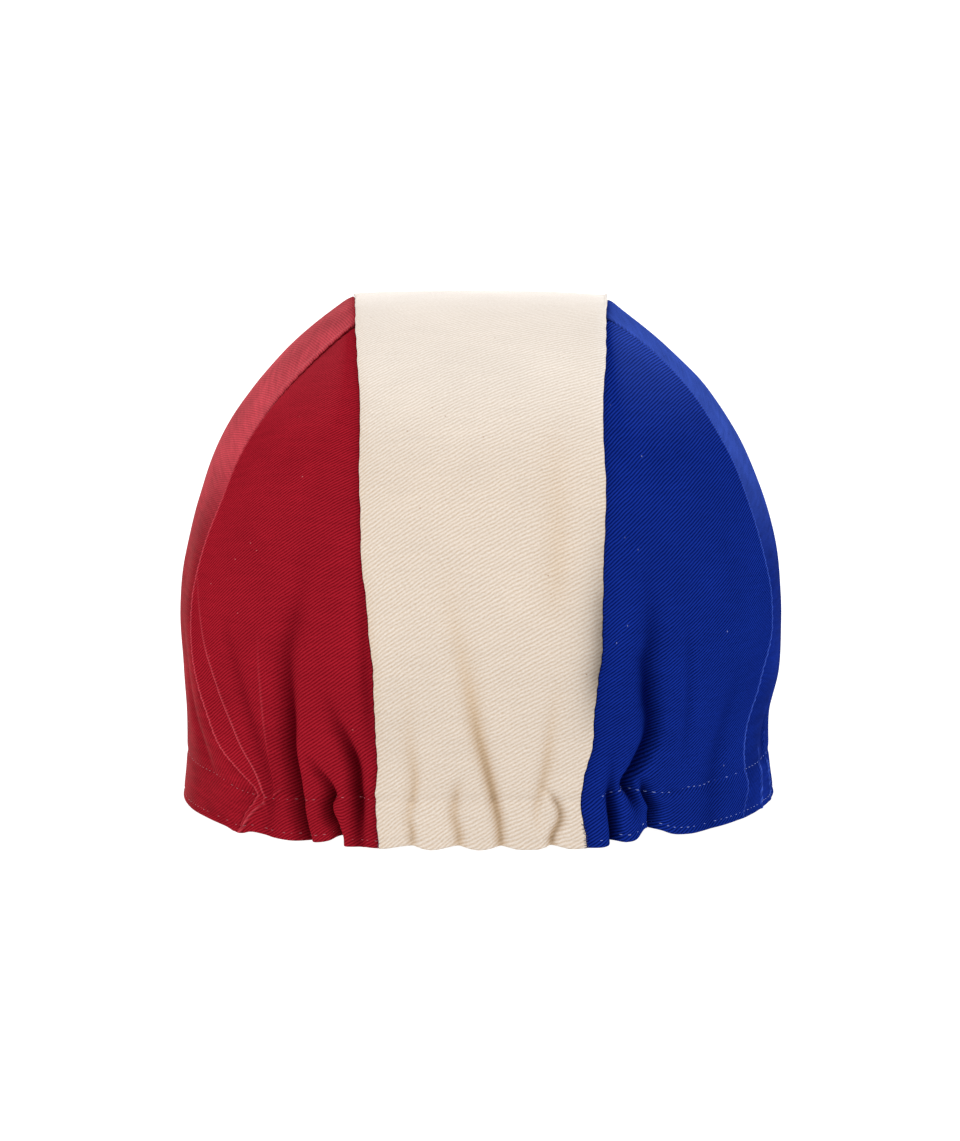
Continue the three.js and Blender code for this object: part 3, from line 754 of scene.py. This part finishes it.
def makeStrip():
    # The cream strip: places across times places along, on the strip's plain surface, settled
    # with its gathers; its two faces part by the cloth's thickness and meet round the edges.
    stationAt = lambda t: -crown["wallTop"] + (frontHem + crown["wallTop"]) * t
    t, lengths = walk(lambda t: stripPlain(0 * t, stationAt(t)))
    longKnot, wideKnot = strip["alongKnots"][-1][0], strip["acrossKnots"][-1][0]
    along = places(strip["alongKnots"]) * lengths[-1] / longKnot
    across = places(strip["acrossKnots"]) * 2 / wideKnot - 1
    station = stationAt(np.interp(along, lengths, t))
    strays = strayed(np.sign(across)[None, :], station[:, None]) * np.abs(across)
    plain = stripPlain(across * (1 + strays), station[:, None])
    fromEdge = (1 - np.abs(across))[None, :] * stripHalf(station)[:, None]
    fromEnd = np.minimum(along, lengths[-1] - along)[:, None]
    stitched = puckered(strip["pucker"], fromEdge, along[:, None], 1.3 * np.sign(across))
    left, right = (smoothCurve(strip["turnStations"], strip[key]) for key in ("turnLeft", "turnRight"))
    turn = np.where(across > 0, left(station)[:, None], right(station)[:, None])
    proud = strip["proud"] + stitched - turn * bell(fromEdge / strip["turnReach"], 0.6 + 0.5 * turn)
    uv = flatCloth(stripPlain(0 * station, station), 0, plain, settle(plain, -proud), 1)
    uv[..., 1] += strip["grainBow"] * uv[..., 0] ** 2
    # Painted shade where the edges dive into the seams, and a painted shadow by the right one.
    shaded = turn * np.where(across > 0, strip["shaded"][1], strip["shaded"][0])
    shaded = shaded * bell(fromEdge, strip["shadedReach"]) * (0.8 + stitched / 0.3)
    shadow = np.where(across > 0, 0, strip["shadow"]) * np.clip(turn - 0.2, 0, 1)
    shadow = shadow * np.exp(-((fromEdge / strip["shadowReach"]) ** 1.5))
    # Painted sheen: paler towards the crown's top.
    onTop = 1 - fade((plain[..., 2] - strip["paintedTopSheenFrom"]) / strip["paintedTopSheenOver"])
    tone = np.clip(foldTone(plain) - shaded + strip["paintedTopSheen"] * onTop, -1, 1)
    drop = rolled(np.minimum(fromEdge, fromEnd))
    return sheetOver("cream_strip", plain, proud, drop, uv, tone=tone, shadow=shadow)


seamWork = {  # what the side seams do to the cloth beside them, in millimetres
    "frontReach": 3.6, "rearReach": 2.6,  # how far in from the edge a panel stands out
    "pucker": (0.14, 2, 2.9), "stripPucker": (0.18, 2.2, 3.1),
    "overlap": 0.08, "overlapEnd": 0.08,  # how much less the edges overlap, and the share that fades
    "groove": 0.3, "grooveReach": 2.2,  # painted shade beside the strip, where the panel dips under it
    "wornRise": 1.4, "wornMost": 0.8, "wornAt": 0.8, "wornReach": 0.45,  # where an edge stands out
    # painted sheen: how far from the seam it reaches, and over how many levels it comes in
    "paintedSheenReach": 75, "paintedSheenOver": 0.36,
}
# Each panel's grain angle, the wear on its seam edge, and its painted sheen: how much paler it is drawn near
# the seam above a level.
sidePanels = {
    "rear": {
        "grain": 38, "worn": 0.45, "paintedSheen": {"left": 0.09, "right": 0.17}, "paintedSheenFrom": 1.34,
        "acrossKnots": [(0, 0.12), (1.2, 0.26), (3, 0.33), (53, 0.33), (54.8, 0.2), (56, 0.12)],
        "alongKnots": [(0, 0.12), (1.5, 0.35), (4, 0.5), (62, 0.55), (95, 1.2)]},
    "front": {
        "grain": 112, "worn": 0, "paintedSheen": {"left": 0.36, "right": 0.32}, "paintedSheenFrom": 1.08,
        "acrossKnots": [
            (0, 0.12), (1.2, 0.4), (3, 1.3), (82, 1.2), (109, 0.6), (110.8, 0.28), (112, 0.1)],
        "alongKnots": [(0, 0.12), (1.5, 0.35), (4, 0.8), (70, 0.85), (95, 1.2)]},
}


def seamPlace(key, part, t):
    # A side seam's place by share of its levels. A front panel goes on past it by what two round
    # edges that stand out unevenly need to meet: their radii's sum less the root of its square
    # minus the step's.
    seam = seams[key]
    level = seam["endLevel"] * t
    angle = seam["side"] * seamAngle[key](level)
    if part == "front":
        step = proudCurves[key]["rear"](level) - proudCurves[key]["front"](level)
        apart = 2 * crown["roll"]
        past = apart - np.sqrt(np.maximum(apart ** 2 - step ** 2, 0)) - seamWork["overlap"]
        past = np.maximum(past, 0) * np.clip((1 - t) / seamWork["overlapEnd"], 0, 1)
        angle = angle - seam["side"] * np.degrees(past / fromMiddle(sidePlain(angle, level)))
    return angle, level


def makeSidePanel(name, key, part):
    # A side panel between the strip's edge and the side seam: both lines are walked by share of
    # their length, and each row joins the two places straight in angle and way up the cloth.
    seam, looks = seams[key], sidePanels[part]
    side = seam["side"]
    hemStation = frontHem if part == "front" else -crown["wallTop"]
    stationAt = lambda t: hemStation + (seam["end"] - hemStation) * t
    edgePlace = lambda t: stripEdge(side, stationAt(t))
    t, edgeLengths = walk(lambda t: sidePlain(*edgePlace(t)))
    t, lineLengths = walk(lambda t: sidePlain(*seamPlace(key, part, t)))
    tall = lineLengths[-1]
    down = places(looks["alongKnots"], tall - 0.5) / tall
    p = places(looks["acrossKnots"]) / looks["acrossKnots"][-1][0]
    edgeShare = np.interp(down * edgeLengths[-1], edgeLengths, t)
    edgeAngle, edgeLevel = edgePlace(edgeShare)
    lineAngle, lineLevel = seamPlace(key, part, np.interp(down * tall, lineLengths, t))
    angle = edgeAngle[:, None] + (lineAngle - edgeAngle)[:, None] * p
    level = levelOf(climbOf(edgeLevel)[:, None] + (climbOf(lineLevel) - climbOf(edgeLevel))[:, None] * p)
    plain = sidePlain(angle, level)
    fromStrip = alongRows(plain)
    fromSeam = fromStrip[:, -1:] - fromStrip
    fromHem = (down * tall)[:, None]
    drop = rolled(np.minimum(np.minimum(fromStrip, fromSeam), np.minimum(fromHem, fromHem[-1] - fromHem)))
    under = smoothCurve(strip["turnStations"], strip["underLeft" if side > 0 else "underRight"])
    rise = proudCurves[key][part](level)
    proud = rise * bell(fromSeam, seamWork[part + "Reach"])
    proud = proud + puckered(seamWork["pucker"], fromSeam, fromHem)
    proud = proud + puckered(seamWork["stripPucker"], fromStrip, fromHem)
    proud = proud - under(stationAt(edgeShare))[:, None] * bell(fromStrip, strip["underReach"])
    grainAngle = side * looks["grain"]
    levels = np.linspace(0, 1.85, 200)
    line = sidePlain(0 * levels + grainAngle, levels)
    uv = flatCloth(line, grainAngle, plain, settle(plain, -proud), side)
    # Painted shade beside the strip.
    tone = foldTone(plain) - seamWork["groove"] * np.exp(-fromStrip / seamWork["grooveReach"])
    worn = looks["worn"] * np.clip(seamWork["wornRise"] * rise, 0, seamWork["wornMost"])
    tone = tone + worn * bell(fromSeam - seamWork["wornAt"], seamWork["wornReach"])
    # Painted sheen: paler near the seam, above a level.
    sheenPatch = looks["paintedSheen"][key] * bell(fromSeam, seamWork["paintedSheenReach"])
    tone = tone + sheenPatch * (1 - fade((level - looks["paintedSheenFrom"]) / seamWork["paintedSheenOver"]))
    return sheetOver(name, plain, proud, drop, uv, tone=np.clip(tone, -1, 1))


pieces = {"centre_strip": makeStrip()}
print("strip made")
for key, colour in (("left", "red"), ("right", "blue")):
    for part in sidePanels:
        pieces[f"{key}_{part}_panel"] = makeSidePanel(f"{colour}_{part}_panel", key, part)
print("side panels made")


def wallPlain(angle, height):
    # The plain wall at any angle: the side surface, or the strip's where it is nearer the middle.
    angle, height = np.broadcast_arrays(np.asarray(angle, float), np.asarray(height, float))
    level = height / crown["wallTop"]
    onSide = sidePlain(angle, level)
    station = np.where(np.abs(angle) < 90, height - crown["wallTop"], frontHem - height)
    half = stripHalf(station)
    y, z = spine(station)
    slant = np.tan(np.radians(angle))
    x = np.clip(y * slant, -half, half)
    for _ in range(4):
        x = np.clip(y * (1 - crown["stripBow"] * (x / half) ** 2) * slant, -half, half)
    onStrip = stripPlain(x / half, station)
    return np.where((np.abs(onSide[..., 0]) > half)[..., None], onSide, onStrip)


band = {
    "setUp": 0.7, "gap": 0.35, "thickness": 1.0,
    "aroundKnots": [(0, 1.0), (110, 0.9), (135, 0.36), (225, 0.36), (250, 0.9), (360, 1.0)],
    "upKnots": [(0, 0.15), (1.5, 0.7), (11, 0.7), (12.8, 0.15)],
}


def makeBand():
    # The hem's inner layer: a ring of places round the head times places up the band.
    angle = places(band["aroundKnots"])[:-1] - 180
    height = places(band["upKnots"])
    plain = wallPlain(angle[None, :], height[:, None] + band["setUp"])
    fromEnd = np.minimum(height, height[-1] - height)[:, None]
    drop = np.broadcast_to(rolled(fromEnd) * band["thickness"] / crown["cloth"], plain.shape[:2])
    outer = crown["cloth"] + band["gap"]
    inner = outer + band["thickness"]
    around = np.cumsum(np.linalg.norm(np.diff(plain[0], axis=0, prepend=plain[0][-1:]), axis=1))
    uv = np.stack(np.broadcast_arrays(around[None, :], height[:, None]), -1)
    faces = settle(plain, outer + drop), settle(plain, inner - drop)
    return closedSheet("hem_band_cloth", *faces, uv, wraps=True)


pieces["hem_band"] = makeBand()

peak = {
    "halfAngle": 58, "cornerX": 78, "cornerY": -52, "reach": 104, "squareness": 2.2,
    "thickness": 2.6, "tuck": 3, "arch": 4, "gap": 0.3, "stitchedIn": 4.5,
    "acrossKnots": [(0, 0.15), (3, 0.9), (217, 0.9), (220, 0.15)],
    "outKnots": [(0, 0.3), (2, 1.0), (54, 0.9), (58, 0.12)],
}


def peakPlace(across, out):
    # The board's top face: from a line tucked in under the front hem, straight out to a
    # superellipse, sinking to the table but arched in the middle.
    angle = 180 - across * peak["halfAngle"]
    hem = settle(wallPlain(np.where(angle > 180, angle - 360, angle), 0 * angle))
    flat = hem.copy()
    flat[..., 2] = 0
    inner = flat * (1 - peak["tuck"] / np.linalg.norm(flat, axis=-1, keepdims=True))
    swing, power = np.radians(across * 90), 2 / peak["squareness"]
    edge = np.stack([
        np.sign(across) * peak["cornerX"] * np.abs(np.sin(swing)) ** power,
        peak["cornerY"] - peak["reach"] * np.abs(np.cos(swing)) ** power, 0 * across], -1)
    start = hem[..., 2] - peak["gap"]
    end = peak["arch"] * fade((across / 0.65) ** 2) + peak["thickness"]
    place = inner + (edge - inner) * out[..., None]
    place[..., 2] = start + (end - start) * out
    return place


def peakDepth(across):
    return np.linalg.norm(peakPlace(across, 0 * across + 1) - peakPlace(across, 0 * across), axis=-1)


def makePeak():
    # The peak: its top face and one its thickness below, meeting in a round edge.
    halfWide, deep = peak["acrossKnots"][-1][0] / 2, peak["outKnots"][-1][0]
    across, out = np.meshgrid(places(peak["acrossKnots"]) / halfWide - 1, places(peak["outKnots"]) / deep)
    top = peakPlace(across, out)
    long = peakDepth(across)
    fromEdge = np.minimum(np.minimum((1 - out) * long, (1 - np.abs(across)) * halfWide), out * long)
    drop = rolled(fromEdge, peak["thickness"] / 2)
    upper, lower = top.copy(), top.copy()
    upper[..., 2] -= drop
    lower[..., 2] -= peak["thickness"] - drop
    lower[..., 2] = np.maximum(lower[..., 2], 0)
    return closedSheet("peak_cover", upper, lower, top[..., [0, 1]])


pieces["peak"] = makePeak()
print("band and peak made")


def spindles(name, centres, up, radii, sides=6):
    # Short threads: rings round each line of centres, closed to a point at both ends.
    count, rings = centres.shape[:2]
    along = np.gradient(centres, axis=1)
    along /= np.linalg.norm(along, axis=-1, keepdims=True)
    across = np.cross(along, up)
    across /= np.linalg.norm(across, axis=-1, keepdims=True)
    lift = np.cross(across, along)
    turn = np.arange(sides) * 2 * np.pi / sides
    middle = slice(1, rings - 1)
    ring = (centres[:, middle, None] + radii[:, middle, None, None] * (
        across[:, middle, None] * np.cos(turn)[:, None] + lift[:, middle, None] * np.sin(turn)[:, None]))
    body = ring.reshape(count, -1, 3)
    points = np.concatenate([body, centres[:, :1], centres[:, -1:]], 1)
    index = np.arange((rings - 2) * sides).reshape(rings - 2, sides)
    turned = np.roll(index, -1, 1)
    sheath = np.stack([index[:-1], turned[:-1], turned[1:], index[1:]], -1).reshape(-1, 4)
    tris = np.concatenate([sheath[:, [0, 1, 2]], sheath[:, [0, 2, 3]]])
    tip, tail = (rings - 2) * sides, (rings - 2) * sides + 1
    tris = np.concatenate([
        tris, np.stack([turned[0], index[0], np.full(sides, tip)], -1),
        np.stack([index[-1], turned[-1], np.full(sides, tail)], -1)])
    faces = (tris[None] + (np.arange(count) * points.shape[1])[:, None, None]).reshape(-1, 3)
    return makeMesh(name, points.reshape(-1, 3), faces)


def wornThread(name, colours):
    # Spun polyester sewing thread: faintly shiny, its twist just shows.
    material, tree = newMaterial(name)
    twist = noise(tree, addNode(tree, "TexCoord", output="Object"), 1600, 1, 0.5)
    tint = mixed(tree, twist, linear(colours[0]), linear(colours[1]))
    bump = addNode(tree, "Bump", {"Height": twist, "Strength": 0.3, "Distance": 0.0001})
    covered(tree, Base_Color=tint, Roughness=0.6, Specular_IOR_Level=0.35, Normal=bump)
    return material


def surfaceLine(angle, height):
    # Points of the outer cloth along a row, and the outward directions there.
    plain = wallPlain(angle, height)
    at = settle(plain)
    ahead = settle(wallPlain(angle + 0.15, height))
    above = settle(wallPlain(angle, height + 0.3))
    normal = np.cross(above - at, ahead - at)
    normal *= np.sign((normal * plain * [1, 1, 0]).sum(-1, keepdims=True))
    return at, normal / np.linalg.norm(normal, axis=-1, keepdims=True)


stitches = {
    "length": 1.3, "pitch": 2.7, "radius": 0.09, "rise": 0.15, "sunk": 0.12, "uneven": 0.09,
    "red": ("b56a70", "8c3c46"), "blue": ("93a3dc", "5468b4"), "cream": ("d8cab4", "c2ab8a"),
}


def spindleRadii(radius, t, like):
    # Thick in the middle, nearly nothing at both ends: the root of a half wave.
    return np.broadcast_to(radius * np.sqrt(np.maximum(np.sin(np.pi * t), 0.02)), like.shape)


def stitchLine(at, normal):
    # One row of stitches along points of a surface: each one a spindle that rises out of the cloth
    # and dives back, at even pitch with a little seeded unevenness.
    lengths = alongRows(at)
    count = int(lengths[-1] / stitches["pitch"])
    start = (np.arange(count) + 0.2) * stitches["pitch"] + rng.normal(0, 0.12, count)
    t = np.linspace(0, 1, 7)
    where = start[:, None] + t * stitches["length"] * rng.uniform(0.8, 1.05, count)[:, None]
    line, away = between(where, lengths, at), between(where, lengths, normal)
    rise = np.sin(np.pi * t) * stitches["rise"] - stitches["sunk"]
    rise = rise + rng.normal(0, stitches["uneven"], count)[:, None]
    return line + away * rise[..., None], away, spindleRadii(stitches["radius"], t, rise)


def sewn(name, rows, colours):
    # Rows of spindles joined into one piece of thread.
    centres, away, radii = (np.concatenate(part) for part in zip(*rows))
    piece = spindles(name, centres, away, radii)
    piece.data.materials.append(wornThread(name + "Polyester", colours))
    return piece


def makeStitches(colour, angleFrom, angleTo):
    # The two rows of stitches that hold the hem.
    fine = np.linspace(angleFrom, angleTo, 3000)
    heights = (upperRow(fine), 0 * fine + stitchRow["lowHeight"])
    rows = [stitchLine(*surfaceLine(fine, height)) for height in heights]
    return sewn(f"{colour}_hem_stitches", rows, stitches[colour])


def makePeakStitches():
    # One row round the peak, a constant way in from its edge.
    across = np.linspace(-0.96, 0.96, 1500)
    at = peakPlace(across, 1 - peak["stitchedIn"] / peakDepth(across))
    row = stitchLine(at, np.broadcast_to([0.0, 0.0, 1.0], at.shape))
    return sewn("peak_stitches", [row], stitches["cream"])


threadEnds = {
    "left": [0.5, 1.2, 2.3, 3.1, 4.8],  # heights of the cut ends by each edge of the strip
    "right": [0.4, 0.9, 1.6, 2.3, 2.9, 3.8, 4.7, 5.5, 6.6],
    "length": 1.5, "radius": 0.09, "colour": ("23223a", "4c4c6a"),
}


def makeThreadEnds():
    # Cut ends of the overlocking that show at the strip's edges by the hem: each one a short arc
    # out of the seam that leans over the strip.
    height = np.array(threadEnds["left"] + threadEnds["right"])
    side = np.repeat([1, -1], [len(threadEnds["left"]), len(threadEnds["right"])])
    angle, _ = stripEdge(side, height - crown["wallTop"])
    t = np.linspace(0, 1, 7)
    along = (t - 0.35) * threadEnds["length"] * rng.uniform(0.6, 1.1, len(height))[:, None]
    slope = rng.uniform(-0.7, 0.7, len(height))[:, None]
    angle = angle[:, None] - side[:, None] * np.degrees(along / 90)
    at, normal = surfaceLine(angle, height[:, None] + slope * along + 0.3 * t * t)
    rise = 0.15 + 0.3 * np.sin(np.pi * t * 0.7)
    row = (at + normal * rise[:, None], normal, spindleRadii(threadEnds["radius"], t, along))
    return sewn("overlock_ends", [row], threadEnds["colour"])


threads = {  # the threads that show on each piece
    "left_front_panel": [makeStitches("red", 18.5, 160)],
    "right_front_panel": [makeStitches("blue", -160, -18.5)],
    "centre_strip": [makeStitches("cream", -17, 17), makeThreadEnds()],
    "peak": [makePeakStitches()],
}
print("stitches made")

finish = {  # node by node: its cloth, its slot and how its sheet is held
    "centre_strip": ("cream", "cream_twill", "gathered"),
    "left_rear_panel": ("red", "red_twill", "gathered"),
    "right_rear_panel": ("blue", "blue_twill", "gathered"),
    "hem_band": ("band", "band_cloth", "gathered"),
    "left_front_panel": ("redFront", "red_twill", "stretched"),
    "right_front_panel": ("blueFront", "blue_twill", "stretched"),
    "peak": ("cream", "cream_twill", None),
}
for node, (cloth, slotName, how) in finish.items():
    piece = pieces[node]
    piece.data.materials.append(twill[cloth])
    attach(piece, "root")
    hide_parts(node)
    for thread in threads.get(node, []):
        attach(thread, "root")

stage = {"flat": 2.3, "bend": 0.9, "height": 2.0, "sides": 96, "colour": "808080", "glow": 0.98}


def makeStage():
    # The floor: a flat disc whose rim sweeps up in a quarter circle to a low wall.
    rise = np.radians(np.linspace(0, 90, 25))
    flat = np.linspace(0, stage["flat"], 12)[1:-1]
    bend = stage["flat"] + stage["bend"] * np.sin(rise)
    radius = np.concatenate([flat, bend, bend[-1:]])[:, None]
    height = np.concatenate([0 * flat, stage["bend"] * (1 - np.cos(rise)), [stage["height"]]])[:, None]
    turn = np.arange(stage["sides"]) * 2 * np.pi / stage["sides"]
    points = np.stack(np.broadcast_arrays(radius * np.cos(turn), radius * np.sin(turn), height), -1)
    index = np.arange(points.shape[0] * stage["sides"]).reshape(-1, stage["sides"])
    faces = quads(np.concatenate([index, index[:, :1]], 1))[:, ::-1].tolist() + [index[0].tolist()]
    mesh = bpy.data.meshes.new("studio_floor")
    mesh.from_pydata(points.reshape(-1, 3).tolist(), [], faces)
    mesh.polygons.foreach_set("use_smooth", np.ones(len(faces), bool))
    material, tree = newMaterial("mattOpalSheet")  # glows faintly, so shadows on it stay pale
    covered(
        tree, Base_Color=linear(stage["colour"]), Roughness=1.0, Specular_IOR_Level=0.0,
        Emission_Color=(1, 1, 1, 1), Emission_Strength=stage["glow"])
    material.cycles.emission_sampling = "NONE"
    mesh.materials.append(material)
    inScene("studio_floor", mesh)


makeStage()

light = {
    "world": 0.28,
    "boxes": [  # place, what it faces, size, power in watts
        ((-1.5, 1.2, 0.86), (0, 0.02, 0.07), 1.0, 14.8),
        ((1.5, 1.2, 0.86), (0, 0.02, 0.07), 1.0, 16.6),
        ((0.0, 0.25, 2.3), (0, 0.02, 0.07), 1.8, 21.5),
        ((0.0, -1.4, 2.4), (0, -3.1, 0.9), 2.4, 110.0),
    ],
}


def aimed(thing, place, way):
    # Puts a lamp or the camera at its place and turns it to look along a direction.
    thing.location = place
    thing.rotation_mode = "QUATERNION"
    thing.rotation_quaternion = Vector(way).to_track_quat("-Z", "Y")


world = bpy.data.worlds.new("studio")
world.use_nodes = True
background = world.node_tree.nodes["Background"].inputs
background["Color"].default_value = (1, 1, 1, 1)
background["Strength"].default_value = light["world"]
bpy.context.scene.world = world
for number, (place, faces, size, power) in enumerate(light["boxes"]):
    lamp = bpy.data.lights.new(f"softbox_{number}", "AREA")
    lamp.shape, lamp.size, lamp.energy = "SQUARE", size, power
    softbox = inScene(lamp.name, lamp)
    aimed(softbox, place, np.array(faces) - np.array(place))
    softbox.visible_camera = False

camera = {
    "distance": 1600, "elevation": 6.0, "yaw": 0.7, "aim": (0.15, capShift, 69.0),
    "perMm": 3.4, "photoHeight": 1141,  # the photograph's pixels to a millimetre, and its height
    "sensor": 36,
}
sight = bpy.data.cameras.new("photo_camera")
sight.sensor_fit = "VERTICAL"
sight.sensor_height = sight.sensor_width = camera["sensor"]
sight.lens = camera["perMm"] * camera["distance"] * camera["sensor"] / camera["photoHeight"]
sight.clip_start, sight.clip_end = 0.05, 20
up, swing = np.radians(camera["elevation"]), np.radians(camera["yaw"])
back = np.array([np.sin(swing) * np.cos(up), np.cos(swing) * np.cos(up), np.sin(up)])
viewer = inScene("photo_camera", sight)
aimed(viewer, (np.array(camera["aim"]) + back * camera["distance"]) / 1000, -back)
bpy.context.scene.camera = viewer
bpy.context.scene.view_settings.view_transform = "Standard"
print("lights and camera set")
